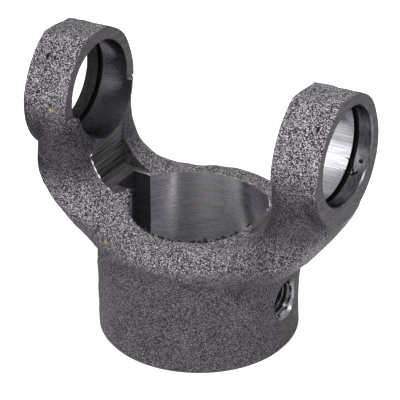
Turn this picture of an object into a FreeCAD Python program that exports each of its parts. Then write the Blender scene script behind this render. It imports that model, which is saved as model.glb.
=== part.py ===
import FreeCAD, Part
import math
import os

# A driveline end yoke, forged in steel in one piece and then machined.
# Two arms rise from a round hub and carry the bearing cups of a universal joint cross.
# Frame: the origin is the centre of the hub's end face, +Z runs up the hub bore,
# and X is the axis of the two cross bores. All sizes are in millimetres.

# Hub.
hub_diameter = 54.9
hub_draft = 0.35
hub_bore_diameter = 38.1
hub_end_to_cross = 63.5
hub_end_chamfer = 0.8
bore_chamfer = 0.8

# Keyway in the hub bore, on the side of the -X arm.
keyway_width = 9.525
keyway_depth = 4.35

# Tapped hole for the set screw, 3/8 in with 16 threads to the inch, on the side of the +X arm.
screw_tap_diameter = 7.94
screw_mouth_diameter = 11.6
screw_height = 14.8

# Ears and the bores for the cross's bearing cups.
ear_span = 88.9
ear_gap = 62.3
cross_bore_diameter = 27.0
cross_bore_chamfer = 0.35
ear_wall = 3.4
ear_shoulder_dip = 0.55
ear_boss_proud = 2.15
ear_boss_drop = 2.0
ear_ledge_drop = 3.0
ear_ledge_depth = 3.55
ear_top_fall = 0.7
ring_groove_width = 1.6
ring_groove_depth = 0.9
ring_groove_lip = 3.9

# Arms, as forged: the bend inside, the shoulder and underside outside, drafts and rounds.
cross_to_saddle = 28.0
arm_side_lean = 3.5
bend_radius = 13.0
shoulder_drop = 17.5
shoulder_radius = 18.5
underside_angle = 46.0
inner_draft = 7.0
outer_draft = 5.0
outer_round = 3.0
underside_round = 4.5
underside_sweep = 4.5
ear_inner_round = 4.0
arm_inner_round = 6.5
rim_round = 5.0

# Collar where the arms join over the hub. Its lower edge is an arch.
collar_proud = 0.8
collar_edge_round = 1.2
collar_depth = 8.0
collar_arch_radius = 55.0
collar_blend = 12

# How many sections the arms, the bends and the saddle have, the chords in a rounded corner,
# and the share of a side's depth that its two rounds may take.
arm_steps = 3
bend_steps = 5
saddle_steps = 2
corner_chords = 4
round_share = 0.9

# Band where the flash was trimmed off along the parting line.
flash_width = 9.8
flash_cut = 0.45

# Roots of the arms, milled out in three passes: cut into the arm, and height over the floor.
root_upper_cut = 0.8
root_middle_cut = 0.45
root_floor_cut = -1.0
root_step_rise = 5.55
root_ledge_rise = 0.35
root_floor_rise = 0.2
root_front = -9.5
root_back = 6.5

hub_radius = hub_diameter / 2
arm_span = ear_span - 2 * ear_boss_proud
arm_gap = ear_gap - 2 * ear_ledge_depth
ear_ledge_height = hub_end_to_cross - ear_ledge_drop
hub_end_to_saddle = hub_end_to_cross - cross_to_saddle
collar_arch_height = hub_end_to_saddle - collar_depth
hub_bore_radius = hub_bore_diameter / 2
cross_bore_radius = cross_bore_diameter / 2
ear_radius = cross_bore_radius + ear_wall
collar_radius = hub_radius + collar_proud
flash_half = flash_width / 2
inner_taper = math.tan(math.radians(inner_draft))
outer_taper = math.tan(math.radians(outer_draft))
side_taper = math.tan(math.radians(arm_side_lean))

# The inner outline of the U is a level saddle, a bend and an upright arm.
saddle_ridge = hub_end_to_saddle + hub_bore_radius * inner_taper
bend_x = arm_gap / 2 - bend_radius
bend_z = saddle_ridge + bend_radius

# The outer outline is an upright side, an arc and a straight underside.
shoulder_x = arm_span / 2 - shoulder_radius
shoulder_z = hub_end_to_cross - shoulder_drop
underside_turn = math.radians(90 - underside_angle)
underside_x = shoulder_x + shoulder_radius * math.cos(underside_turn)
underside_z = shoulder_z - shoulder_radius * math.sin(underside_turn)


def axial(radius, start, end, axis):
    """A cylinder along X or Z from start to end."""
    if axis == "X":
        base = FreeCAD.Vector(start, 0, hub_end_to_cross)
        direction = FreeCAD.Vector(1, 0, 0)
    else:
        base = FreeCAD.Vector(0, 0, start)
        direction = FreeCAD.Vector(0, 0, 1)
    return Part.makeCylinder(radius, end - start, base, direction)


def block(x0, x1, y0, y1, z0, z1):
    """A box given by its limits."""
    return Part.makeBox(x1 - x0, y1 - y0, z1 - z0, FreeCAD.Vector(x0, y0, z0))


def half_width(x, z):
    """Half width of the forging at a place: a leaning arm blended with the round collar."""
    arm = ear_radius + max(ear_ledge_height - z, 0) * side_taper
    collar = math.sqrt(max(collar_radius ** 2 - x ** 2, 0))
    return (arm ** collar_blend + collar ** collar_blend) ** (1 / collar_blend)


def arch_height(x):
    """Height of the collar's lower edge: an arch that runs straight on past the saddle."""
    level = min(x, bend_x)
    return collar_arch_height - (level ** 2 / 2 + level * (x - level)) / collar_arch_radius


def outer_reach(angle):
    """Distance from the bend's centre to the outer outline, at an angle below level."""
    ray_x = math.cos(angle)
    ray_z = -math.sin(angle)
    if shoulder_z <= bend_z - (arm_span / 2 - bend_x) * math.tan(angle):
        return (arm_span / 2 - bend_x) / ray_x
    along = ray_x * (shoulder_x - bend_x) + ray_z * (shoulder_z - bend_z)
    apart = (shoulder_x - bend_x) ** 2 + (shoulder_z - bend_z) ** 2
    half_chord = math.sqrt(max(along ** 2 - apart + shoulder_radius ** 2, 0))
    arc = along + half_chord
    if half_chord > 0 and bend_x + arc * ray_x >= underside_x:
        return arc
    slope = math.tan(math.radians(underside_angle))
    underside = (underside_z - bend_z + slope * (bend_x - underside_x)) / (ray_z - slope * ray_x)
    arch = (arch_height(bend_x) - bend_z) / (ray_z + bend_x / collar_arch_radius * ray_x)
    return min(underside, arch)


def corner(deep, wide):
    """Quarter ellipse in chords, as pairs of drops: from the end along the first face to the
    end along the second one, each drop counted from the sharp corner."""
    turns = [math.pi / 2 * step / corner_chords for step in range(corner_chords + 1)]
    return [(deep * (1 - math.cos(turn)), wide * (1 - math.sin(turn))) for turn in turns]


def section(inner, outward, reach, inner_round, outer_round, sweep):
    """Points of one half section, from the ridge of the inner face round to the flash band.

    Depth runs outward through the metal and y across it. The inner and outer faces fall away
    by their draft, the side joins them, and both corners are rounded. The outer corner reaches
    further across the outer face by the sweep. Rounds that find no room are made smaller.
    """
    outer = inner + outward * reach
    inner_half = half_width(abs(inner.x), inner.z)
    outer_half = half_width(abs(outer.x), outer.z)
    low = inner_half * inner_taper
    high = reach - (outer_half - flash_half) * outer_taper
    room = min(1, round_share * (high - low) / (inner_round + outer_round))
    inner_round *= room
    outer_round *= room
    side_slope = (outer_half - inner_half) / (high - low)
    spots = [(0, 0)]
    for rise, drop in corner(inner_round, inner_round):
        spots.append((low + rise - drop * inner_taper, inner_half + rise * side_slope - drop))
    for rise, drop in corner(outer_round, outer_round + sweep)[::-1]:
        spots.append((high - rise + drop * outer_taper, outer_half - rise * side_slope - drop))
    spots.append((reach, flash_half))
    return [inner + outward * depth + FreeCAD.Vector(0, y, 0) for depth, y in spots]


def stations():
    """Sections from the -X arm's top, round the saddle, to the +X arm's top."""
    half = []
    upright = FreeCAD.Vector(1, 0, 0)
    thick = (arm_span - arm_gap) / 2
    for step in range(arm_steps):
        share = step / (arm_steps - 1)
        inner = FreeCAD.Vector(arm_gap / 2, 0, ear_ledge_height + (bend_z - ear_ledge_height) * share)
        radius = ear_inner_round + (arm_inner_round - ear_inner_round) * math.sin(share * math.pi / 2)
        half.append((inner, upright, thick, radius, outer_round, 0))
    for step in range(1, bend_steps + 1):
        share = step / bend_steps
        angle = math.radians(90) * share
        outward = FreeCAD.Vector(math.cos(angle), 0, -math.sin(angle))
        inner = FreeCAD.Vector(bend_x, 0, bend_z) + outward * bend_radius
        radius = arm_inner_round + (rim_round - arm_inner_round) * share
        swell = math.sin(math.pi * share ** 2)
        edge = outer_round + (collar_edge_round - outer_round) * share + underside_round * swell
        sweep = underside_sweep * swell
        half.append((inner, outward, outer_reach(angle) - bend_radius, radius, edge, sweep))
    down = FreeCAD.Vector(0, 0, -1)
    for step in range(1, saddle_steps + 1):
        inner = FreeCAD.Vector(bend_x * (1 - step / saddle_steps), 0, saddle_ridge)
        depth = saddle_ridge - arch_height(inner.x)
        half.append((inner, down, depth, rim_round, collar_edge_round, 0))
    mirrored = []
    for inner, outward, reach, radius, edge, sweep in half[:-1]:
        flipped = FreeCAD.Vector(-inner.x, inner.y, inner.z)
        turned = FreeCAD.Vector(-outward.x, outward.y, outward.z)
        mirrored.append((flipped, turned, reach, radius, edge, sweep))
    return [section(*station) for station in mirrored + half[::-1]]


def strip(line, following, span):
    """A face between two neighbouring lines, over one span of the path."""
    poles = [list(pair) for pair in zip(line.getPoles(), following.getPoles())]
    surface = Part.BSplineSurface()
    surface.buildFromPolesMultsKnots(
        poles,
        line.getMultiplicities(),
        [2, 2],
        line.getKnots(),
        [0, 1],
        False,
        False,
        line.Degree,
        1,
    )
    surface.segment(span[0], span[1], 0, 1)
    return surface.toShape()


def u_band():
    """The two arms and the saddle, as smooth strips run through every section of the U."""
    sections = stations()
    path = [0.0]
    for one, two in zip(sections, sections[1:]):
        path.append(path[-1] + (two[0] - one[0]).Length + (two[-1] - one[-1]).Length)
    loop = []
    for row in sections:
        mirrored = [FreeCAD.Vector(point.x, -point.y, point.z) for point in row[:0:-1]]
        loop.append(row + mirrored)
    lines = []
    for index in range(len(loop[0])):
        line = Part.BSplineCurve()
        line.interpolate(Points=[row[index] for row in loop], Parameters=path)
        lines.append(line)
    faces = []
    for line, following in zip(lines, lines[1:] + lines[:1]):
        for span in zip(path, path[1:]):
            faces.append(strip(line, following, span))
    for row in (loop[0], loop[-1]):
        faces.append(Part.Face(Part.makePolygon(row + row[:1])))
    shell = Part.Shell(faces)
    shell.sewShape()
    return Part.Solid(shell)


def ear(hand):
    """One ear above the ledge, with its machined boss on the outside and a ground top."""
    x0 = ear_gap / 2
    x1 = ear_span / 2
    top = ear_radius
    diagonal = (ear_radius - ear_shoulder_dip) * math.sqrt(0.5)

    def at(y, z):
        return FreeCAD.Vector(0, y, hub_end_to_cross + z)

    foot = -ear_ledge_drop
    edges = [
        Part.LineSegment(at(ear_radius, foot), at(ear_radius, 0)).toShape(),
        Part.Arc(at(ear_radius, 0), at(diagonal, diagonal), at(flash_half, top)).toShape(),
        Part.LineSegment(at(flash_half, top), at(-flash_half, top)).toShape(),
        Part.Arc(at(-flash_half, top), at(-diagonal, diagonal), at(-ear_radius, 0)).toShape(),
        Part.LineSegment(at(-ear_radius, 0), at(-ear_radius, foot)).toShape(),
        Part.LineSegment(at(-ear_radius, foot), at(ear_radius, foot)).toShape(),
    ]
    plate = Part.Face(Part.Wire(edges)).extrude(FreeCAD.Vector(x1 - x0, 0, 0))
    plate.translate(FreeCAD.Vector(x0, 0, 0))
    boss_x = (arm_span + arm_gap) / 4
    boss = axial(ear_radius, boss_x, x1, "X")
    boss.translate(FreeCAD.Vector(0, 0, -ear_boss_drop))
    boss = boss.cut(block(boss_x, x1, -top, top, ear_ledge_height, hub_end_to_cross + 2 * top))
    whole = plate.fuse(boss)
    if hand < 0:
        whole = whole.mirror(FreeCAD.Vector(0, 0, 0), FreeCAD.Vector(1, 0, 0))
    # The ground top falls a little toward -X.
    near = max(hand * x0, hand * x1)
    edge = FreeCAD.Vector(near, 0, hub_end_to_cross + top)
    trim = block(near - 2 * top, near + top, -top, top, edge.z, edge.z + top)
    trim.rotate(edge, FreeCAD.Vector(0, 1, 0), -math.degrees(math.atan(ear_top_fall / (x1 - x0))))
    return whole.cut(trim)


def hub():
    """The hub below the collar, slightly narrower at its end, with a broken end edge."""
    top = hub_end_to_saddle - rim_round * 0.7
    body = Part.makeCone(hub_radius - hub_draft, hub_radius, top)
    end_edges = [edge for edge in body.Edges if edge.BoundBox.ZMax < hub_end_chamfer]
    body = body.makeChamfer(hub_end_chamfer, end_edges)
    flat_top = arch_height(hub_radius)
    for hand in (1, -1):
        x0 = hub_radius - flash_cut
        flat = block(x0, x0 + 2 * flash_cut, -hub_radius, hub_radius, -flash_cut, flat_top)
        if hand < 0:
            flat = flat.mirror(FreeCAD.Vector(0, 0, 0), FreeCAD.Vector(1, 0, 0))
        body = body.cut(flat)
    return body


def machining():
    """The solids that are machined away from the forging, as a list."""
    high = hub_end_to_cross + 2 * ear_radius
    cuts = []
    # The hub bore with its lead-in, and the keyway over its whole length.
    cuts.append(axial(hub_bore_radius, 0, high, "Z"))
    cuts.append(Part.makeCone(hub_bore_radius + bore_chamfer, hub_bore_radius, bore_chamfer))
    keyway_floor = hub_bore_radius + keyway_depth
    cuts.append(block(-keyway_floor, 0, -keyway_width / 2, keyway_width / 2, 0, high))
    # The cross bores, their lead-ins from both faces, and the snap ring grooves.
    cuts.append(axial(cross_bore_radius, -ear_span, ear_span, "X"))
    groove_end = ear_span / 2 - ring_groove_lip
    groove_start = groove_end - ring_groove_width
    for hand in (1, -1):
        groove = axial(cross_bore_radius + ring_groove_depth, groove_start, groove_end, "X")
        mouth = Part.makeCone(
            cross_bore_radius,
            cross_bore_radius + cross_bore_chamfer,
            cross_bore_chamfer,
            FreeCAD.Vector(ear_span / 2 - cross_bore_chamfer, 0, hub_end_to_cross),
            FreeCAD.Vector(1, 0, 0),
        )
        for tool in (groove, mouth):
            if hand < 0:
                tool = tool.mirror(FreeCAD.Vector(0, 0, 0), FreeCAD.Vector(1, 0, 0))
            cuts.append(tool)
    # The roots of the arms, milled out in passes for the cross to swing.
    floor = saddle_ridge + root_floor_rise
    for cut, rise in (
        (root_upper_cut, root_step_rise),
        (root_middle_cut, root_ledge_rise),
        (root_floor_cut, 0),
    ):
        reach = arm_gap / 2 + cut
        cuts.append(block(-reach, reach, root_front, root_back, floor + rise, high))
    # The tapped hole, drilled in from the +X side, with a countersunk mouth.
    face = hub_radius - flash_cut
    tap = screw_tap_diameter / 2
    sink = (screw_mouth_diameter - screw_tap_diameter) / 2
    seat = FreeCAD.Vector(0, 0, screw_height)
    out = FreeCAD.Vector(1, 0, 0)
    cuts.append(Part.makeCylinder(tap, hub_diameter, seat, out))
    cuts.append(Part.makeCone(tap, tap + 2 * sink, 2 * sink, seat + out * (face - sink), out))
    return cuts


def forged_yoke():
    """The whole yoke: forged body first, then the machining."""
    body = u_band()
    body = body.fuse([ear(1), ear(-1), hub()])
    body = body.cut(machining())
    body = body.removeSplitter()
    return body.Solids[0]


os.makedirs("parts", exist_ok=True)
forged_yoke().exportStep("parts/forged_yoke.step")
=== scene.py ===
import math

import bmesh
import bpy
import numpy as np
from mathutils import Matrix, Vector


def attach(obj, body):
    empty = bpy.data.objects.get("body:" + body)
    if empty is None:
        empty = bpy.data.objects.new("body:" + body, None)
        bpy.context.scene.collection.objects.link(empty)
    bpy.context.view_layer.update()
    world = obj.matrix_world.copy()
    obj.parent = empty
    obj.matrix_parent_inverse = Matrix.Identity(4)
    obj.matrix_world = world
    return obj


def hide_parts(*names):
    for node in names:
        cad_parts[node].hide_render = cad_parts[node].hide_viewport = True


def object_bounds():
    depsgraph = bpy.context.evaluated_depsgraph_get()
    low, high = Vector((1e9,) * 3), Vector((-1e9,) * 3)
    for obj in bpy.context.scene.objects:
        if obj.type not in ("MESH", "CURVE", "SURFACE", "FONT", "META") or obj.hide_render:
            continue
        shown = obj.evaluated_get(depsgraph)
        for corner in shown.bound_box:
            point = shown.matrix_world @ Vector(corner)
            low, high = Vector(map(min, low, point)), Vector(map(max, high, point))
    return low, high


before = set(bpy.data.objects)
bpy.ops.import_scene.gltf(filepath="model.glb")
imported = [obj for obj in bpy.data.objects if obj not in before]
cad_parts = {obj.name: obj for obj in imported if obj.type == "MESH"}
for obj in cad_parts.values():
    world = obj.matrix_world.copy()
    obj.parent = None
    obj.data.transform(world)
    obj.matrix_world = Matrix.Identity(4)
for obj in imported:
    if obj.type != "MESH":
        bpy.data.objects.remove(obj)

cad_box = [list(corner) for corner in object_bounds()]

# The forging: one piece of steel, hammered hot between two dies, trimmed of its flash and shot
# blasted, then bored, faced and milled. Its solid is carried over with its skin divided finely,
# so that the rounded edges are smooth and the forged faces wander a little.
MM = 0.001
SKIN, FLASH, FACED, CROSS_BORE, HUB_BORE, ROOT, MOUTH, GROOVE, LIP, KEYWAY, TAP = range(11)
HUB_BORE_RADIUS = 19.05 * MM
SADDLE_HEIGHT = 35.5 * MM
KEYWAY_HALF = 4.7625 * MM
KEYWAY_FLOOR = 23.4 * MM
CROSS_HEIGHT = 63.5 * MM
CROSS_BORE_RADIUS = 13.5 * MM
RING_GROOVE_RADIUS = 14.4 * MM
RING_GROOVE_END = 40.55 * MM
EAR_OUTER = 44.45 * MM
EAR_INNER = 31.15 * MM
ROOT_REACH = 28.45 * MM
ROOT_FRONT = -9.5 * MM
ROOT_BACK = 6.5 * MM
FLASH_HALF = 4.9 * MM
HUB_FLAT = 27.0 * MM
TAP_RADIUS = 3.97 * MM
TAP_HEIGHT = 14.8 * MM
TAP_MOUTH_RADIUS = 5.9 * MM
THREAD_DEPTH = 0.78 * MM

# How near to a face a facet has to lie to count as part of it, and how much of its normal has
# to run along an axis for it to face that way.
SNUG = 0.02 * MM
EDGE_ON = 0.05
ABOUT_SQUARE = 0.99
SQUARE = 0.999
DEAD_SQUARE = 0.9999

# The skin's facets, its smoothing (pulled in, then pushed out again) and its lumps.
SHARP_ANGLE = math.radians(27)
SKIN_EDGE = 1.2 * MM
SMOOTHING = (0.5, -0.52) * 10
LUMPS = ((0.10 * MM, 14 * MM), (0.07 * MM, 6 * MM), (0.04 * MM, 3 * MM))
BAND_LUMPS = 0.3

# Where the forging departs from its drawing. The pushes, their places and their reach are in
# millimetres.
HUB_SWELL = 0.35 * MM
SWELL_FROM = 25.5 * MM
SWELL_TOP = 25 * MM
SWELL_FADE = 4 * MM
TAP_CLEAR = 6 * MM
TAP_FADE = 3 * MM
CORNER_FILL = 0.5 * MM
PUSH_REACH = (9, 3.5, 3.5)
EAR_PUSHES = (
    ((-44, 5.5, 80.0), (-0.1, -0.5, -0.8)),
    ((32, 5.5, 80.0), (-0.1, -0.5, -0.8)),
    ((-38, 12.5, 74.5), (0, 0.45, 0.35)),
    ((38, 12.5, 74.5), (0, 0.45, 0.35)),
)


def finish_of(spots, normal):
    """The finish of each facet, from where it lies and which way it faces.

    Bores are known by their distance from their axis, faced and milled faces by their plane,
    the trimmed bands by their half width, and all the rest is forged skin.
    """
    x, y, z = spots.mean(1).T
    facing_x, facing_y, facing_z = abs(normal).T
    far_y = abs(spots[:, :, 1]).max(1)
    kind = np.full(len(spots), SKIN)

    outward = (normal * (spots.mean(1) - [0, 0, CROSS_HEIGHT - EAR_INNER / 2])).sum(1) > 0
    band = (far_y < FLASH_HALF + SNUG) & (facing_y < EDGE_ON) & outward
    kind[band & (np.hypot(x, z - SADDLE_HEIGHT) > HUB_FLAT)] = FLASH
    kind[(abs(abs(x) - HUB_FLAT) < 5 * SNUG) & (facing_x > SQUARE)] = FLASH

    ear_face = (abs(abs(x) - EAR_OUTER) < SNUG) | (abs(abs(x) - EAR_INNER) < SNUG)
    kind[ear_face & (facing_x > SQUARE)] = FACED
    kind[(z < MM) & (normal[:, 2] < -0.5)] = FACED

    across = np.hypot(x, y)
    between_cuts = (y > ROOT_FRONT - SNUG) & (y < ROOT_BACK + SNUG)
    milled = (abs(x) < ROOT_REACH) & between_cuts & (z > SADDLE_HEIGHT)
    flat = np.maximum(np.maximum(facing_x, facing_y), facing_z) > DEAD_SQUARE
    kind[milled & flat & (across > HUB_BORE_RADIUS)] = ROOT

    inward = normal[:, 0] * x + normal[:, 1] * y < -0.9 * across
    kind[(across < HUB_BORE_RADIUS + SNUG) & inward & (z < CROSS_HEIGHT)] = HUB_BORE
    slot_side = (abs(abs(y) - KEYWAY_HALF) < SNUG) & (facing_y > SQUARE)
    slot_floor = (abs(x + KEYWAY_FLOOR) < SNUG) & (facing_x > SQUARE)
    in_slot = (far_y < KEYWAY_HALF + SNUG) & (x < 0) & (x > -KEYWAY_FLOOR - SNUG)
    in_slot &= across > HUB_BORE_RADIUS - MM
    kind[in_slot & (slot_side | slot_floor)] = KEYWAY

    drop = z - CROSS_HEIGHT
    off_cross = np.hypot(y, drop)
    toward = (y * normal[:, 1] + drop * normal[:, 2]) / off_cross < -0.5
    within = (abs(x) > EAR_INNER + MM) & (abs(x) < EAR_OUTER - MM)
    side = (facing_x > ABOUT_SQUARE) & (off_cross > CROSS_BORE_RADIUS - SNUG) & within
    in_bore = (off_cross < RING_GROOVE_RADIUS + SNUG) & (abs(x) > EAR_INNER / 2) & (toward | side)
    kind[in_bore] = CROSS_BORE
    kind[in_bore & (abs(x) > RING_GROOVE_END)] = LIP
    kind[in_bore & (side | (off_cross > RING_GROOVE_RADIUS - 2 * SNUG))] = GROOVE

    off_tap = np.hypot(y, z - TAP_HEIGHT)
    slanting = (facing_x > 0.2) & (facing_x < 0.95)
    kind[(off_tap < TAP_MOUTH_RADIUS) & (x > HUB_BORE_RADIUS) & slanting] = MOUTH
    drilled = (off_tap < TAP_RADIUS + SNUG) & (x > HUB_BORE_RADIUS - 2 * MM)
    kind[drilled & (facing_x < EDGE_ON)] = TAP
    return kind


def face_normals(points, corners):
    """The unit normal of each triangle, from the cross product of two of its sides."""
    spots = points[corners]
    made = np.cross(spots[:, 1] - spots[:, 0], spots[:, 2] - spots[:, 0])
    return made / np.maximum(np.linalg.norm(made, axis=1, keepdims=True), 1e-20)


def sides_of(corners):
    """The edges of a triangle mesh, each once, and for each triangle the numbers of its three."""
    pairs = np.sort(np.stack([corners, np.roll(corners, -1, 1)], -1), -1)
    edges, number = np.unique(pairs.reshape(-1, 2), axis=0, return_inverse=True)
    return edges, number.reshape(-1, 3)


def merged_solid():
    """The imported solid's points and triangles, merged, and its sharp edges."""
    bm = bmesh.new()
    bm.from_mesh(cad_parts["forged_yoke"].data)
    bmesh.ops.remove_doubles(bm, verts=bm.verts, dist=SNUG / 20)
    crisp = [
        (edge.verts[0].index, edge.verts[1].index) for edge in bm.edges
        if len(edge.link_faces) == 2 and edge.calc_face_angle(0) > SHARP_ANGLE
    ]
    mesh = bpy.data.meshes.new("merged")
    bm.to_mesh(mesh)
    bm.free()
    points = np.empty(len(mesh.vertices) * 3)
    mesh.vertices.foreach_get("co", points)
    corners = np.empty(len(mesh.polygons) * 3, int)
    mesh.polygons.foreach_get("vertices", corners)
    bpy.data.meshes.remove(mesh)
    return points.reshape(-1, 3), corners.reshape(-1, 3), np.sort(crisp, 1)


def halved(points, corners, kinds, crisp, limit):
    """Puts a point in the middle of each edge of the skin that is longer than the limit.

    A triangle with one, two or three such edges becomes two, three or four triangles. Each is
    turned first, so that its split edges come in the same order.
    """
    edges, number = sides_of(corners)
    on_skin = np.zeros(len(edges), bool)
    on_skin[number[(kinds == SKIN) | (kinds == FLASH)]] = True
    length = np.linalg.norm(points[edges[:, 0]] - points[edges[:, 1]], axis=1)
    split = on_skin & (length > limit)
    middle = np.where(split, len(points) + np.cumsum(split) - 1, -1)
    cut = split[number]
    count = cut.sum(1)
    shift = np.where(count == 1, cut.argmax(1), np.where(count == 2, (~cut).argmax(1) + 1, 0)) % 3
    order = (np.arange(3)[None, :] + shift[:, None]) % 3
    a, b, c = np.take_along_axis(corners, order, 1).T
    ab, bc, ca = np.take_along_axis(middle[number], order, 1).T
    pieces = {
        0: [(a, b, c)],
        1: [(a, ab, c), (ab, b, c)],
        2: [(a, ab, c), (ab, b, bc), (ab, bc, c)],
        3: [(a, ab, ca), (ab, b, bc), (ca, bc, c), (ab, bc, ca)],
    }
    made = [
        (np.stack(piece, 1)[count == cuts], kinds[count == cuts])
        for cuts, several in pieces.items() for piece in several
    ]
    code = edges[:, 0] * len(points) + edges[:, 1]
    mid = middle[np.searchsorted(code, crisp[:, 0] * len(points) + crisp[:, 1])]
    whole = crisp[mid < 0]
    halves = [np.stack([crisp[mid >= 0, end], mid[mid >= 0]], 1) for end in (0, 1)]
    points = np.concatenate([points, points[edges[split]].mean(1)])
    corners, kinds = (np.concatenate([part[which] for part in made]) for which in (0, 1))
    return points, corners, kinds, np.concatenate([whole] + halves), bool(split.any())


def mean_of_neighbours(values, edges):
    """For each point, the mean of a value over the points that it shares an edge with."""
    count = np.maximum(np.bincount(edges.ravel(), minlength=len(values)), 1)
    total = np.stack([
        np.bincount(edges[:, 0], column[edges[:, 1]], len(values))
        + np.bincount(edges[:, 1], column[edges[:, 0]], len(values))
        for column in values.T
    ], 1)
    return total / count[:, None]


def point_normals(points, corners):
    """The mean of the facets' normals round each point."""
    normal = face_normals(points, corners)
    total = np.stack([
        sum(np.bincount(corners[:, side], normal[:, axis], len(points)) for side in range(3))
        for axis in range(3)
    ], 1)
    return total / np.maximum(np.linalg.norm(total, axis=1, keepdims=True), 1e-20)


def wander(points, wavelength, seed, waves=24):
    """A smooth random value at each point, from -1 to 1 or so: the sum of sine waves of one
    length that run in random directions, divided by the square root of their number."""
    rng = np.random.default_rng(seed)
    ways = rng.normal(size=(waves, 3))
    ways /= np.linalg.norm(ways, axis=1, keepdims=True)
    phases = rng.uniform(0, math.tau, waves)
    return np.sin(points @ ways.T * (math.tau / wavelength) + phases).sum(1) / math.sqrt(waves)


def free_share(points, corners, kinds, crisp, edges):
    """How far each point may move: 0 on machined faces and crisp edges, and 1 on the skin. The
    second value rises from 0 to 1 over a few points."""
    fixed = np.zeros(len(points), bool)
    fixed[corners[(kinds != SKIN) & (kinds != FLASH)]] = True
    fixed[crisp] = True
    share = np.where(fixed, 0.0, 1.0)[:, None]
    eased = share
    for _ in range(3):
        eased = np.minimum(mean_of_neighbours(eased, edges), share)
    return share, eased


def settled(points):
    """How the forging departs from its drawing, in metres.

    The hub swells by a steady amount below the collar, its end's corner stays fuller, and each
    named place on the ears is pushed by a vector that fades as a bell curve does.
    """
    x, y, z = points.T
    across = np.hypot(x, y)
    full = np.clip((across - SWELL_FROM) / MM, 0, 1) * np.clip((SWELL_TOP - z) / SWELL_FADE, 0, 1)
    off_tap = np.where(x > 0, np.hypot(y, z - TAP_HEIGHT), TAP_CLEAR + TAP_FADE)
    full = full * np.clip((off_tap - TAP_CLEAR) / TAP_FADE, 0, 1)
    corner = np.clip(1 - z / MM, 0, 1) * full * CORNER_FILL
    way = np.stack([x, y, np.zeros(len(x))], 1) / np.maximum(across, MM)[:, None]
    moved = way * (HUB_SWELL * full + corner)[:, None]
    for spot, push in EAR_PUSHES:
        gap = (points / MM - spot) / PUSH_REACH
        moved = moved + np.exp(-0.5 * (gap ** 2).sum(1))[:, None] * np.array(push) * MM
    return moved


points, corners, crisp = merged_solid()
kinds = finish_of(points[corners], face_normals(points, corners))
more = True
while more:
    points, corners, kinds, crisp, more = halved(points, corners, kinds, crisp, SKIN_EDGE)
edges, sides = sides_of(corners)
free, eased = free_share(points, corners, kinds, crisp, edges)
for pull in SMOOTHING:
    points = points + free * pull * (mean_of_neighbours(points, edges) - points)

lumps = sum(height * wander(points, length, seed) for seed, (height, length) in enumerate(LUMPS))
in_band = np.zeros(len(points), bool)
in_band[corners[kinds == FLASH]] = True
lumps = lumps * np.where(in_band, BAND_LUMPS, 1.0)
points = points + eased * lumps[:, None] * point_normals(points, corners)
bored = np.zeros(len(points), bool)
bored[corners[np.isin(kinds, (CROSS_BORE, HUB_BORE, MOUTH, GROOVE, LIP, KEYWAY, TAP))]] = True
points = points + np.where(bored[:, None], 0, settled(points))
points = np.clip(points, cad_box[0], cad_box[1])

# The mouth's cone is opened to the thread's outer radius.
mouth_foot = np.zeros(len(points), bool)
mouth_foot[corners[kinds == MOUTH]] = True
mouth_foot &= np.hypot(points[:, 1], points[:, 2] - TAP_HEIGHT) < TAP_RADIUS + SNUG
opened = (TAP_RADIUS + THREAD_DEPTH) / TAP_RADIUS
points[mouth_foot, 0] += THREAD_DEPTH
points[mouth_foot, 1] *= opened
points[mouth_foot, 2] = TAP_HEIGHT + (points[mouth_foot, 2] - TAP_HEIGHT) * opened

body_mesh = bpy.data.meshes.new("forged_body")
kept = kinds != TAP
body_mesh.from_pydata(points.tolist(), [], corners[kept].tolist())
body_mesh.polygons.foreach_set("material_index", kinds[kept])
body_mesh.polygons.foreach_set("use_smooth", np.ones(kept.sum(), bool))
made_edges = np.empty(len(body_mesh.edges) * 2, int)
body_mesh.edges.foreach_get("vertices", made_edges)
made_edges = np.sort(made_edges.reshape(-1, 2), 1)
is_crisp = np.isin(made_edges @ [len(points), 1], np.sort(crisp, 1) @ [len(points), 1])
body_mesh.edges.foreach_set("use_edge_sharp", is_crisp)
body = bpy.data.objects.new("forged_body", body_mesh)
bpy.context.scene.collection.objects.link(body)
weighted = body.modifiers.new("even shading", "WEIGHTED_NORMAL")
weighted.keep_sharp = True


def add(tree, kind, settings=None, **sockets):
    """A node with its sockets set, or linked where the value is another node's socket. A socket
    is given by its name, or as i0, i1 and so on by its number."""
    made = tree.nodes.new(kind)
    for key, value in (settings or {}).items():
        setattr(made, key, value)
    for name, value in sockets.items():
        socket = made.inputs[int(name[1:]) if name[1:].isdigit() else name.replace("_", " ")]
        if isinstance(value, bpy.types.NodeSocket):
            tree.links.new(value, socket)
        else:
            socket.default_value = value
    return made


def calc(tree, operation, first, second=0.0, third=0.0):
    """The output of one Math node."""
    made = add(tree, "ShaderNodeMath", {"operation": operation}, i0=first, i1=second, i2=third)
    return made.outputs[0]


def vector_calc(tree, operation, first, second=(0, 0, 0)):
    """The outputs of one Vector Math node."""
    return add(tree, "ShaderNodeVectorMath", {"operation": operation}, i0=first, i1=second).outputs


def ramp(tree, value, low, high, start=0.0, end=1.0):
    """A value taken from one range to another, and held at the ends."""
    ends = {"From_Min": low, "From_Max": high, "To_Min": start, "To_Max": end}
    return add(tree, "ShaderNodeMapRange", None, Value=value, **ends).outputs[0]


def between(tree, share, first, second):
    """A value between two values."""
    return calc(tree, "MULTIPLY_ADD", calc(tree, "SUBTRACT", second, first), share, first)


def blend_colour(tree, share, first, second):
    """A colour between two colours."""
    made = add(tree, "ShaderNodeMix", {"data_type": "RGBA"}, i0=share, i6=first, i7=second)
    return made.outputs[2]


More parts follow.
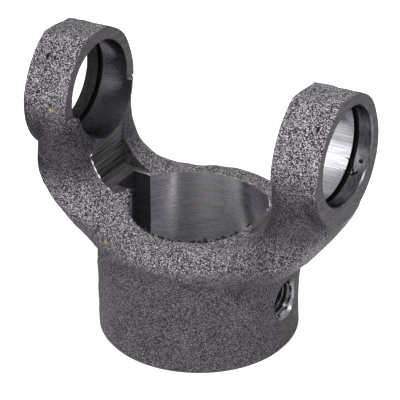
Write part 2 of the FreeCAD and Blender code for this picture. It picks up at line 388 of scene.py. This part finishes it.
def place(tree):
    """Object coordinates counted in millimetres."""
    coords = add(tree, "ShaderNodeTexCoord").outputs["Object"]
    return add(tree, "ShaderNodeMapping", None, Vector=coords, Scale=[1 / MM] * 3).outputs[0]


def noise(tree, where, scale, detail, roughness):
    """Soft noise with a given number of waves to the millimetre."""
    shape = {"Scale": scale, "Detail": detail, "Roughness": roughness}
    return add(tree, "ShaderNodeTexNoise", None, Vector=where, **shape).outputs[0]


def group(name, inputs, outputs):
    """A shader node group with named value inputs and outputs."""
    tree = bpy.data.node_groups.new(name, "ShaderNodeTree")
    for label, value in inputs.items():
        made = tree.interface.new_socket(label, in_out="INPUT", socket_type="NodeSocketFloat")
        made.default_value = value
    for label in outputs:
        tree.interface.new_socket(label, in_out="OUTPUT", socket_type="NodeSocketFloat")
    given = tree.nodes.new("NodeGroupInput").outputs
    result = tree.nodes.new("NodeGroupOutput").inputs
    return tree, given, result


def shot_grain():
    """Blasted skin: small dents side by side, each struck bare by chance, and broad patches.

    How hard a dent is struck is its own random number plus a share of a cloudy noise. It shows
    bare over a limit, as a speck that the skins colour as bare steel and as painted glints, and
    the height grows with that and with the way from the dent's middle.
    """
    inputs = {"Fineness": EAR_FINENESS, "Bare": 0.46}
    tree, given, result = group("shot grain", inputs, ["Height", "Speck", "Patch"])
    where = place(tree)
    dents = add(tree, "ShaderNodeTexVoronoi", {"feature": "F1"}, Vector=where, Scale=given["Fineness"])
    chance = add(tree, "ShaderNodeSeparateColor", None, Color=dents.outputs["Color"]).outputs["Red"]
    clumps = noise(tree, where, scale=1.4, detail=3.0, roughness=0.7)
    struck = calc(tree, "MULTIPLY_ADD", clumps, 0.4, calc(tree, "SUBTRACT", chance, 0.2))
    edge = calc(tree, "SUBTRACT", 1.0, given["Bare"])
    tree.links.new(ramp(tree, struck, edge, calc(tree, "ADD", edge, 0.5)), result["Speck"])
    uneven = calc(tree, "MULTIPLY", struck, 0.35)
    tree.links.new(calc(tree, "MULTIPLY_ADD", dents.outputs["Distance"], 0.6, uneven), result["Height"])
    patches = noise(tree, where, scale=0.16, detail=3.0, roughness=0.65)
    tree.links.new(ramp(tree, patches, 0.35, 0.65), result["Patch"])
    return tree


def cut_marks():
    """Fine parallel lines, as a tool leaves them, with a few that are deeper."""
    inputs = {"Along X": 1.0, "Along Y": 1.0, "Along Z": 1.0}
    tree, given, result = group("cut marks", inputs, ["Height", "Tone"])
    counts = {"X": given["Along X"], "Y": given["Along Y"], "Z": given["Along Z"]}
    stretch = add(tree, "ShaderNodeCombineXYZ", None, **counts).outputs[0]
    stretched = vector_calc(tree, "MULTIPLY", place(tree), stretch)[0]
    lines = noise(tree, stretched, scale=1.0, detail=3.0, roughness=0.7)
    tree.links.new(lines, result["Height"])
    tree.links.new(ramp(tree, lines, 0.3, 0.7), result["Tone"])
    return tree


# Dents to the millimetre, on the ears and arms and on the hub.
EAR_FINENESS = 5.2
HUB_FINENESS = 6.5
GRAIN = shot_grain()
MARKS = cut_marks()


def material(name):
    """An empty material, its tree and its Principled shader."""
    made = bpy.data.materials.new(name)
    made.use_nodes = True
    tree = made.node_tree
    return made, tree, tree.nodes["Principled BSDF"]


def use_group(tree, which, **values):
    """A placed node group with its inputs set."""
    made = tree.nodes.new("ShaderNodeGroup")
    made.node_tree = which
    for label, value in values.items():
        made.inputs[label.replace("_", " ")].default_value = value
    return made.outputs


def bump(tree, shader, height, distance):
    """Feeds a height, whose full range is a distance in millimetres, to the shader's normal."""
    made = add(tree, "ShaderNodeBump", None, Height=height, Distance=distance * MM, Strength=1.0)
    tree.links.new(made.outputs[0], shader.inputs["Normal"])


def near(tree, where, spot, size, inner=0.7, outer=1.2):
    """1 inside an ellipsoid given by its middle and half axes in millimetres, falling to 0."""
    away = vector_calc(tree, "SUBTRACT", where, spot)[0]
    length = vector_calc(tree, "LENGTH", vector_calc(tree, "DIVIDE", away, size)[0])["Value"]
    return ramp(tree, length, inner, outer, 1.0, 0.0)


# The skin's colours, its roughness and metal from scale to bare steel, and the heights in
# millimetres between which its look changes. The bare steel's near white also stands for
# painted glints, and the shares on the hub, in the hollow and in the corner dim the specks
# as painted shade, on the hub together with its duller blasting.
SCALE_DARK = (0.018, 0.016, 0.018, 1)
SCALE_WORN = (0.048, 0.043, 0.050, 1)
BARE_AND_GLINT = (0.82, 0.77, 0.84, 1)
PIT_BLACK = (0.012, 0.010, 0.012, 1)
RUST = (0.75, 0.48, 0.16, 1)
DULL_EDGE = (0.25, 0.24, 0.26, 1)
SKIN_ROUGHNESS = (0.60, 0.32)
SKIN_METAL = (0.35, 0.75)
GRAIN_CHANGE = (27, 33)
BRIGHT_FROM = (29, 35.5)
HOLLOW_STARTS = (38, 46)
HOLLOW_ENDS = (56, 66)
HUB_DULL_AND_SHADE = 0.40
HOLLOW_SHADE = 0.22
CORNER_SHADE = 0.45
CORNER_MIDDLE = (28.0, -18.2, 37.0)
CORNER_SIZE = (9.0, 9.0, 7.0)
PITS = (
    ((-40.0, -11.2, 75.5), (0.5, 1.0, 1.3)),
    ((-37.7, -11.2, 75.5), (0.35, 0.8, 1.0)),
    ((41.3, -11.2, 75.5), (0.5, 1.0, 1.3)),
    ((-33.8, -13.2, 69.5), (0.3, 0.6, 0.6)),
)
RUST_SPECKS = (
    ((-15.0, -23.5, 32.1), (0.35, 0.5, 0.5)),
    ((-35.9, -16.9, 63.0), (0.4, 0.5, 0.5)),
    ((-13.2, -24.6, 31.0), (0.2, 0.3, 0.3)),
)


def forged_skin():
    """Dark blasted scale with bright specks, where the shot has struck the steel bare, painted
    near white as painted glints.

    The blasting is finer on the hub than on the ears. The specks are dimmed on the hub below
    the rim, for its duller blasting and as painted shade, and dimmed as painted shade in the
    hollow of the arms and where the +X arm meets the collar.
    """
    made, tree, shader = material("forged_skin")
    where = place(tree)
    coarse = use_group(tree, GRAIN)
    fine = use_group(tree, GRAIN, Fineness=HUB_FINENESS)
    height = add(tree, "ShaderNodeSeparateXYZ", None, Vector=where).outputs["Z"]
    above_hub = ramp(tree, height, *GRAIN_CHANGE)
    struck = between(tree, above_hub, fine["Speck"], coarse["Speck"])
    relief = between(tree, above_hub, fine["Height"], coarse["Height"])

    # Painted shade: the specks are dimmed in the hollow between the arms, where the +X arm meets the
    # collar, and on the hub below the rim, there together with its duller blasting.
    on_hub = ramp(tree, height, *BRIGHT_FROM, HUB_DULL_AND_SHADE, 1.0)
    below_hollow = ramp(tree, height, *HOLLOW_STARTS, 1.0, HOLLOW_SHADE)
    above_hollow = ramp(tree, height, *HOLLOW_ENDS, HOLLOW_SHADE, 1.0)
    lit_share = calc(tree, "MINIMUM", on_hub, calc(tree, "MAXIMUM", below_hollow, above_hollow))
    in_corner = near(tree, where, CORNER_MIDDLE, CORNER_SIZE, inner=0.2, outer=1.6)
    lit_share = calc(tree, "MULTIPLY", lit_share, ramp(tree, in_corner, 0, 1, 1.0, CORNER_SHADE))
    speck = calc(tree, "MULTIPLY", struck, lit_share)

    scale = blend_colour(tree, coarse["Patch"], SCALE_DARK, SCALE_WORN)
    # Painted glints: the specks are painted near white, for bare steel and for the glints of its dents.
    colour = blend_colour(tree, speck, scale, BARE_AND_GLINT)
    for spots, tint in ((PITS, PIT_BLACK), (RUST_SPECKS, RUST)):
        for spot, size in spots:
            colour = blend_colour(tree, near(tree, where, spot, size), colour, tint)
    tree.links.new(colour, shader.inputs["Base Color"])
    tree.links.new(ramp(tree, speck, 0, 1, *SKIN_ROUGHNESS), shader.inputs["Roughness"])
    tree.links.new(ramp(tree, speck, 0, 1, *SKIN_METAL), shader.inputs["Metallic"])
    shader.inputs["Specular IOR Level"].default_value = 0.25
    shader.inputs["Specular Tint"].default_value = DULL_EDGE
    bump(tree, shader, relief, distance=0.25)
    return made


def trimmed_flash():
    """The band along the parting line, sheared smooth, with slanting drag marks."""
    made, tree, shader = material("trimmed_flash")
    grain = use_group(tree, GRAIN)
    marks = use_group(tree, MARKS, Along_X=0.5, Along_Y=0.35, Along_Z=3.0)
    # Painted glints: a share of the grain's specks lightens the tone, for bare steel and its glints.
    specks = calc(tree, "MULTIPLY", grain["Speck"], 0.3)
    tone = calc(tree, "MULTIPLY_ADD", marks["Tone"], 0.3, specks)
    colour = blend_colour(tree, tone, (0.040, 0.036, 0.038, 1), (0.24, 0.225, 0.235, 1))
    tree.links.new(colour, shader.inputs["Base Color"])
    shader.inputs["Roughness"].default_value = 0.5
    shader.inputs["Metallic"].default_value = 0.5
    shader.inputs["Specular IOR Level"].default_value = 0.25
    shader.inputs["Specular Tint"].default_value = DULL_EDGE
    bump(tree, shader, tone, distance=0.15)
    return made


def cut_steel(name, along, dark, light, roughness, depth, metallic=1.0, edge=0.3, streak=0.0):
    """Machined steel, whose tone and height vary with the marks of the tool.

    Along is the count of marks to the millimetre on each axis, few along the tool's way and many
    across it, and depth is theirs in millimetres. Edge is how bright it is seen at a slant, and
    streak is how far a highlight is drawn out along the axis of a bore that stands on Z.
    """
    made, tree, shader = material(name)
    marks = use_group(tree, MARKS, Along_X=along[0], Along_Y=along[1], Along_Z=along[2])
    colour = blend_colour(tree, marks["Tone"], (*dark, 1), (*light, 1))
    tree.links.new(colour, shader.inputs["Base Color"])
    spread = ramp(tree, marks["Tone"], 0, 1, roughness * 1.15, roughness * 0.85)
    tree.links.new(spread, shader.inputs["Roughness"])
    shader.inputs["Metallic"].default_value = metallic
    shader.inputs["Specular IOR Level"].default_value = 0.25
    shader.inputs["Specular Tint"].default_value = (edge, edge, edge * 1.05, 1)
    if streak:
        shader.inputs["Anisotropic"].default_value = streak
        shader.inputs["Anisotropic Rotation"].default_value = 0.25
        tangent = add(tree, "ShaderNodeTangent", {"direction_type": "RADIAL", "axis": "Z"})
        tree.links.new(tangent.outputs[0], shader.inputs["Tangent"])
    bump(tree, shader, marks["Height"], depth)
    return made


faced_steel = cut_steel(
    "faced_steel", along=(3, 0.4, 3), dark=(0.035, 0.032, 0.035), light=(0.12, 0.112, 0.12),
    roughness=0.5, depth=0.02, metallic=0.5,
)
cross_bore = cut_steel(
    "cross_bore", along=(0.15, 3, 3), dark=(0.22, 0.215, 0.235), light=(0.38, 0.375, 0.40),
    roughness=0.25, depth=0.003, edge=0.6,
)
hub_bore = cut_steel(
    "hub_bore", along=(0.1, 0.1, 3), dark=(0.72, 0.69, 0.75), light=(0.86, 0.83, 0.90),
    roughness=0.27, depth=0.002, edge=0.9, streak=0.85,
)
milled_root = cut_steel(
    "milled_root", along=(1.3, 0.06, 1.3), dark=(0.012, 0.010, 0.012), light=(0.15, 0.14, 0.15),
    roughness=0.5, depth=0.5, metallic=0.5,
)
thread_mouth = cut_steel(
    "thread_mouth", along=(0.5, 3, 3), dark=(0.13, 0.125, 0.135), light=(0.28, 0.27, 0.29),
    roughness=0.22, depth=0.02,
)
# Painted shade: the ring groove is the bore's steel painted near black, for the shade in the groove.
ring_groove_shade = cut_steel(
    "ring_groove_shade", along=(0.5, 3, 3), dark=(0.006, 0.006, 0.007), light=(0.02, 0.019, 0.02),
    roughness=0.5, depth=0.003, metallic=0.5,
)
# Painted shade: the lip beyond the groove is the bore's steel painted darker, for the shade that falls
# on it between groove and outer face.
bore_lip_shade = cut_steel(
    "bore_lip_shade", along=(2.5, 0.4, 0.4), dark=(0.03, 0.029, 0.032), light=(0.17, 0.165, 0.175),
    roughness=0.25, depth=0.01, metallic=0.9,
)
keyway = cut_steel(
    "keyway", along=(0.5, 0.5, 1.0), dark=(0.07, 0.066, 0.073), light=(0.14, 0.13, 0.145),
    roughness=0.4, depth=0.02, metallic=0.8,
)
finishes = {
    SKIN: forged_skin(),
    FLASH: trimmed_flash(),
    FACED: faced_steel,
    CROSS_BORE: cross_bore,
    HUB_BORE: hub_bore,
    ROOT: milled_root,
    MOUTH: thread_mouth,
    GROOVE: ring_groove_shade,
    LIP: bore_lip_shade,
    KEYWAY: keyway,
}
for kind in sorted(finishes):
    body_mesh.materials.append(finishes[kind])
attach(body, "root")
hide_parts("forged_yoke")

# The set screw's thread: cut by a tap into the drilled hole in the hub's side, 16 turns to the
# inch. It stands in place of the solid's plain drilled wall, from the hub bore out to the
# countersunk mouth.
THREAD_PITCH = 1.5875 * MM
THREAD_FADE = 0.35 * MM
TOOTH_TOP = 1.15
TOOTH_SLOPE = 1.3
MOUTH_START = 25.07 * MM
TAP_END = MOUTH_START + THREAD_DEPTH
TURN_STEPS = 96
ALONG_STEPS = 180


def grid_faces(rows, columns):
    """Quads of a grid of points that is closed along its columns' way."""
    row, column = np.meshgrid(np.arange(rows - 1), np.arange(columns), indexing="ij")
    here = row * columns + column
    beside = row * columns + (column + 1) % columns
    return np.stack([here, beside, beside + columns, here + columns], -1).reshape(-1, 4)


def new_piece(name, spots, faces, finish, smooth=True):
    """A mesh object from arrays, with one material, that rides on the forging's body."""
    mesh = bpy.data.meshes.new(name)
    mesh.from_pydata(spots.tolist(), [], [list(face) for face in faces])
    mesh.polygons.foreach_set("use_smooth", np.full(len(faces), smooth))
    mesh.materials.append(finish)
    made = bpy.data.objects.new(name, mesh)
    bpy.context.scene.collection.objects.link(made)
    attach(made, "root")


def screw_thread():
    """A round wall along X whose radius rises and falls once in every pitch, shifted by the turn.

    Both slopes are straight, and cut off flat at the top and the bottom. The wall starts where
    the drilled hole breaks into the hub bore, at the root of the bore's radius squared less the
    place across squared. The thread fades in there, and the mouth's cone cuts it off.
    """
    turn = np.linspace(0, math.tau, TURN_STEPS, endpoint=False)[None, :]
    share = np.linspace(0, 1, ALONG_STEPS)[:, None]
    start = np.sqrt(HUB_BORE_RADIUS ** 2 - (TAP_RADIUS * np.cos(turn)) ** 2)
    x = start + (TAP_END - start) * share
    wave = ((x / THREAD_PITCH - turn / math.tau) % 1) * 2 - 1
    tooth = np.clip(TOOTH_TOP - abs(wave) * TOOTH_SLOPE, 0, 1)
    fade = np.clip((x - start) / THREAD_FADE, 0, 1)
    radius = TAP_RADIUS + np.maximum(THREAD_DEPTH * tooth * fade, x - MOUTH_START)
    made = np.stack([x, radius * np.cos(turn), TAP_HEIGHT + radius * np.sin(turn)], -1)
    return made.reshape(-1, 3)


# Painted shade: the thread is cut steel painted dark, for the shade inside the hole; its glints come
# from the lamps.
tapped_steel_shade = cut_steel(
    "tapped_steel_shade", along=(0.3, 3, 3), dark=(0.04, 0.038, 0.04), light=(0.11, 0.105, 0.115),
    roughness=0.18, depth=0.01, edge=0.9,
)
new_piece("screw_thread", screw_thread(), grid_faces(ALONG_STEPS, TURN_STEPS)[:, ::-1], tapped_steel_shade)

# The burrs: steel that the tools pushed over their edges when the forging was bored and milled,
# left as it came, in ragged ridges a fraction of a millimetre high. The one on the front rim is
# dark, and the others are freshly torn steel painted near white as a painted highlight.
RIDGE_STEPS = 4
RIDGE_SINK = 0.08 * MM
RIM_HEIGHT = 30 * MM
POCKET_FRONT = -8 * MM
SLOT_BACK = 4.5 * MM
SLOT_TOP = 36 * MM


def ridge(name, pairs, rise, grain, seed, finish, least=0.05):
    """A ragged ridge along edges of the forging, closed all round.

    Each edge is cut into equal steps. At each step stands a triangle, as wide at its foot as it
    is high, and its height is the rise times a smooth random value that never falls below the
    least share.
    """
    share = np.linspace(0, 1, RIDGE_STEPS + 1)[None, :, None]
    first, last = points[pairs[:, :1]], points[pairs[:, 1:]]
    spots = first + (last - first) * share
    up = normals[pairs[:, :1]] * (1 - share) + normals[pairs[:, 1:]] * share
    across = np.cross(last - first, up)
    across /= np.maximum(np.linalg.norm(across, axis=2, keepdims=True), 1e-12)
    random = wander(spots.reshape(-1, 3), grain, seed).reshape(spots.shape[:2])
    high = rise * np.clip(0.25 + 0.75 * random, least, None)[..., None]
    foot = spots - up * RIDGE_SINK
    rings = np.stack([foot - across * high / 2, foot + across * high / 2, spots + up * high], 2)
    quads = grid_faces(RIDGE_STEPS + 1, 3)
    start = (np.arange(len(pairs)) * 3 * (RIDGE_STEPS + 1))[:, None, None]
    tips = np.array([[2, 1, 0], [3 * RIDGE_STEPS, 3 * RIDGE_STEPS + 1, 3 * RIDGE_STEPS + 2]])
    long_faces = (start + quads).reshape(-1, 4)[:, ::-1]
    end_faces = (start + tips).reshape(-1, 3)[:, ::-1]
    faces = long_faces.tolist() + end_faces.tolist()
    new_piece(name, rings.reshape(-1, 3), faces, finish, smooth=False)


def edges_between(first, *others):
    """The edges where one finish meets any of the others, and their middles."""
    on_first = np.zeros(len(edges), bool)
    on_first[sides[kinds == first]] = True
    found = []
    for other in others:
        on_other = np.zeros(len(edges), bool)
        on_other[sides[kinds == other]] = True
        found.append(edges[on_first & on_other])
    found = np.concatenate(found)
    return found, points[found].mean(1)


normals = point_normals(points, corners)
torn_steel = cut_steel(
    "torn_steel", along=(2, 2, 2), dark=(0.005, 0.004, 0.005), light=(0.03, 0.028, 0.03),
    roughness=0.5, depth=0.02, metallic=0.3,
)
# Painted highlight: torn steel painted near white, so that the burrs shine under any light.
burr_painted_glint = cut_steel(
    "burr_painted_glint", along=(2, 2, 2), dark=(0.60, 0.58, 0.60), light=(0.95, 0.93, 0.95),
    roughness=0.35, depth=0.02, metallic=0.3,
)
rim, middle = edges_between(SKIN, HUB_BORE)
front_rim = rim[(middle[:, 2] > RIM_HEIGHT) & (middle[:, 1] < 0)]
back_rim = rim[(middle[:, 2] > RIM_HEIGHT) & (middle[:, 1] > 0)]
ridge("front_rim_burr", front_rim, rise=0.7 * MM, grain=1.4 * MM, seed=11, finish=torn_steel)
ridge("back_rim_burr", back_rim, rise=0.22 * MM, grain=2.5 * MM, seed=12, finish=burr_painted_glint)
pocket, middle = edges_between(SKIN, ROOT)
pocket = pocket[(middle[:, 1] < POCKET_FRONT) & (middle[:, 0] < 0)]
ridge("pocket_burr", pocket, rise=0.35 * MM, grain=1.6 * MM, seed=13, finish=burr_painted_glint)
slot, middle = edges_between(KEYWAY, SKIN, FLASH, FACED, ROOT, HUB_BORE)
slot = slot[(middle[:, 1] > SLOT_BACK) & (middle[:, 2] > SLOT_TOP)]
ridge("keyway_burr", slot, rise=0.6 * MM, grain=0.9 * MM, seed=14, finish=burr_painted_glint, least=0.5)

# The swarf: a torn curl of steel, black with cutting oil, that hangs in the ring groove of the
# +X ear, with a loose ring of the same beside it. Its places are in millimetres.
SWARF_PATHS = (
    ((37.9, 10.9, 56.3), (38.6, 11.1, 56.2), (39.3, 10.9, 56.0), (39.8, 11.0, 56.2),
     (40.0, 10.6, 55.6), (40.5, 10.4, 55.3), (40.2, 10.0, 54.8), (40.8, 10.2, 55.1)),
    ((38.6, 8.9, 54.1), (39.1, 8.7, 53.7), (39.9, 8.8, 53.6), (40.6, 8.6, 53.4),
     (41.2, 8.5, 53.4), (41.6, 8.9, 53.7), (42.2, 9.2, 54.0), (42.5, 9.8, 54.6)),
    ((40.3, 10.2, 55.0), (40.8, 9.7, 54.5), (41.2, 9.2, 53.9), (41.5, 8.7, 53.5)),
)
SWARF_BEAD = (42.3, 11.2, 56.4)
SWARF_BEAD_RADIUS = 0.32 * MM
SWARF_RADIUS = 0.2 * MM
SWARF_SIDES = 6
SWARF_STEPS = 6


def swarf_curl(path):
    """A round wire along a smooth path through given places, thinned at both ends.

    Between two places the path is a cubic whose slopes are half the step between the
    neighbours. The ring at each step lies across the path, in two directions square to it.
    """
    spots = np.array(path) * MM
    padded = np.concatenate([2 * spots[:1] - spots[1:2], spots, 2 * spots[-1:] - spots[-2:-1]])
    t = np.linspace(0, 1, SWARF_STEPS, endpoint=False)[None, :, None]
    p0, p1, p2, p3 = (padded[k:len(padded) - 3 + k][:, None, :] for k in range(4))
    line = 0.5 * (2 * p1 + (p2 - p0) * t + (2 * p0 - 5 * p1 + 4 * p2 - p3) * t ** 2
                  + (3 * p1 - p0 - 3 * p2 + p3) * t ** 3)
    line = np.concatenate([line.reshape(-1, 3), spots[-1:]])
    way = np.gradient(line, axis=0)
    way /= np.linalg.norm(way, axis=1, keepdims=True)
    first = np.cross(way, [0.3, 0.9, 0.2])
    first /= np.linalg.norm(first, axis=1, keepdims=True)
    second = np.cross(way, first)
    along = np.linspace(0, 1, len(line))[:, None, None]
    thick = SWARF_RADIUS * np.clip(np.sin(math.pi * along), 0.02, 1) ** 0.4
    turn = np.linspace(0, math.tau, SWARF_SIDES, endpoint=False)[None, :, None]
    tube = thick * (first[:, None] * np.cos(turn) + second[:, None] * np.sin(turn))
    return (line[:, None] + tube).reshape(-1, 3)


def bead_ring():
    """A closed ring of wire: a circle round the bead's middle, in the plane of the bore's wall, as
    a tube round that circle, each point being the circle's point plus the tube's radius."""
    turn = np.linspace(0, math.tau, 4 * SWARF_SIDES, endpoint=False)[:, None, None]
    round_wire = np.linspace(0, math.tau, SWARF_SIDES, endpoint=False)[None, :, None]
    first, second = np.array([1.0, 0, 0]), np.array([0, 0.5, 0.87])
    third = np.cross(first, second)
    outward = first * np.cos(turn) + second * np.sin(turn)
    tube = outward * (SWARF_BEAD_RADIUS + SWARF_RADIUS * np.cos(round_wire))
    tube = tube + third * SWARF_RADIUS * np.sin(round_wire)
    return (np.array(SWARF_BEAD) * MM + tube).reshape(-1, 3)


swarf = cut_steel(
    "swarf", along=(2, 2, 2), dark=(0.004, 0.004, 0.004), light=(0.03, 0.026, 0.02),
    roughness=0.5, depth=0.01, metallic=0.2,
)
for number, path in enumerate(SWARF_PATHS):
    wire = swarf_curl(path)
    start_cap = list(range(SWARF_SIDES))[::-1]
    end_cap = list(range(len(wire) - SWARF_SIDES, len(wire)))
    wall = grid_faces(len(wire) // SWARF_SIDES, SWARF_SIDES).tolist()
    new_piece(f"swarf_{number}", wire, wall + [start_cap, end_cap], swarf)
bead = bead_ring()
bead_faces = grid_faces(len(bead) // SWARF_SIDES + 1, SWARF_SIDES) % len(bead)
new_piece("swarf_bead", bead, bead_faces[:, ::-1], swarf)

# The studio: a pale floor under a white surround, soft lamps left, right and over the top, and the
# camera where the photograph was taken from. Two dark cards, one beside the yoke and one under
# its bore, darken what the polished bores reflect, and the camera doesn't see them.
FLOOR_HALF = 3.0
FLOOR_GLOW = 0.85
SURROUND_LIGHT = 0.15
CAMERA_AZIMUTH = 30.96
CAMERA_ELEVATION = 29.67
CAMERA_DISTANCE = 628.1 * MM
CAMERA_TARGET = Vector((-0.31, 1.03, 37.23)) * MM
CAMERA_LENS = 209.8
CARD_STEPS = 48
CARD_RISE = 0.3 * MM
UNDER_BORE = 18.8 * MM
SIDE_CARD_X = -75 * MM
SIDE_CARD_Y = (-78 * MM, 120 * MM)
SIDE_CARD_TOP = 160 * MM


def way_to(azimuth, elevation):
    """The unit vector to a place round the yoke: azimuth from -Y toward +X, in degrees."""
    turn, rise = math.radians(azimuth), math.radians(elevation)
    return Vector((math.sin(turn) * math.cos(rise), -math.cos(turn) * math.cos(rise), math.sin(rise)))


def seen_white(tree):
    """1 for the rays of the camera, of reflections and of glass, and 0 for the rest."""
    rays = add(tree, "ShaderNodeLightPath").outputs
    seen = calc(tree, "MAXIMUM", rays["Is Camera Ray"], rays["Is Glossy Ray"])
    return calc(tree, "MAXIMUM", seen, rays["Is Transmission Ray"])


def stage_piece(name, spots, finish):
    """A flat stage piece with the given corners, in metres."""
    mesh = bpy.data.meshes.new(name)
    mesh.from_pydata(spots, [], [tuple(range(len(spots)))])
    mesh.materials.append(finish)
    made = bpy.data.objects.new(name, mesh)
    bpy.context.scene.collection.objects.link(made)
    return made


def pale_floor():
    """Matt white, made up to full white for the camera and for reflections, so shadows stay."""
    made, tree, shader = material("pale_floor")
    shader.inputs["Base Color"].default_value = (0.8, 0.8, 0.8, 1)
    shader.inputs["Roughness"].default_value = 0.9
    shader.inputs["Emission Color"].default_value = (1, 1, 1, 1)
    glow = calc(tree, "MULTIPLY", seen_white(tree), FLOOR_GLOW)
    tree.links.new(glow, shader.inputs["Emission Strength"])
    return made


def black_card():
    """Matt black card."""
    made, tree, shader = material("black_card")
    shader.inputs["Base Color"].default_value = (0.02, 0.02, 0.022, 1)
    shader.inputs["Roughness"].default_value = 0.9
    return made


floor_corners = [(-1, -1), (1, -1), (1, 1), (-1, 1)]
stage_piece("floor", [(x * FLOOR_HALF, y * FLOOR_HALF, 0) for x, y in floor_corners], pale_floor())

turn = np.linspace(0, math.tau, CARD_STEPS, endpoint=False)
level = np.full(CARD_STEPS, CARD_RISE)
disc = np.stack([UNDER_BORE * np.cos(turn), UNDER_BORE * np.sin(turn), level], 1)
heights = (0, SIDE_CARD_TOP, SIDE_CARD_TOP, 0)
upright = [(SIDE_CARD_X, y, z) for y, z in zip(np.repeat(SIDE_CARD_Y, 2), heights)]
card_finish = black_card()
for card in (
    stage_piece("bore_card", disc.tolist(), card_finish),
    stage_piece("side_card", upright, card_finish),
):
    card.visible_camera = False
    card.visible_diffuse = False

world = bpy.data.worlds.new("white_surround")
bpy.context.scene.world = world
world.use_nodes = True
sky = world.node_tree
sky.nodes.clear()
strength = ramp(sky, seen_white(sky), 0, 1, SURROUND_LIGHT, 1.0)
backdrop = add(sky, "ShaderNodeBackground", None, Color=(1, 1, 1, 1), Strength=strength)
add(sky, "ShaderNodeOutputWorld", None, Surface=backdrop.outputs[0])


def softbox(name, azimuth, elevation, distance, size, power):
    """A soft lamp, wide and high, placed round the yoke, azimuth counted as for the camera."""
    lamp = bpy.data.lights.new(name, "AREA")
    lamp.shape = "RECTANGLE"
    lamp.size, lamp.size_y = size
    lamp.energy = power
    holder = bpy.data.objects.new(name, lamp)
    back = way_to(azimuth, elevation)
    holder.location = CAMERA_TARGET + back * distance
    holder.rotation_euler = back.to_track_quat("Z", "Y").to_euler()
    bpy.context.scene.collection.objects.link(holder)


softbox("key_lamp", azimuth=-30, elevation=32, distance=0.9, size=(0.36, 0.9), power=2.8)
softbox("side_lamp", azimuth=82, elevation=35, distance=0.9, size=(0.3, 0.3), power=3.0)
softbox("top_lamp", azimuth=0, elevation=72, distance=0.9, size=(0.4, 0.4), power=7.0)

camera_data = bpy.data.cameras.new("camera")
camera_data.lens = CAMERA_LENS
camera = bpy.data.objects.new("camera", camera_data)
view_back = way_to(CAMERA_AZIMUTH, CAMERA_ELEVATION)
camera.location = CAMERA_TARGET + view_back * CAMERA_DISTANCE
camera.rotation_euler = view_back.to_track_quat("Z", "Y").to_euler()
bpy.context.scene.collection.objects.link(camera)
bpy.context.scene.camera = camera
bpy.context.scene.view_settings.view_transform = "Standard"
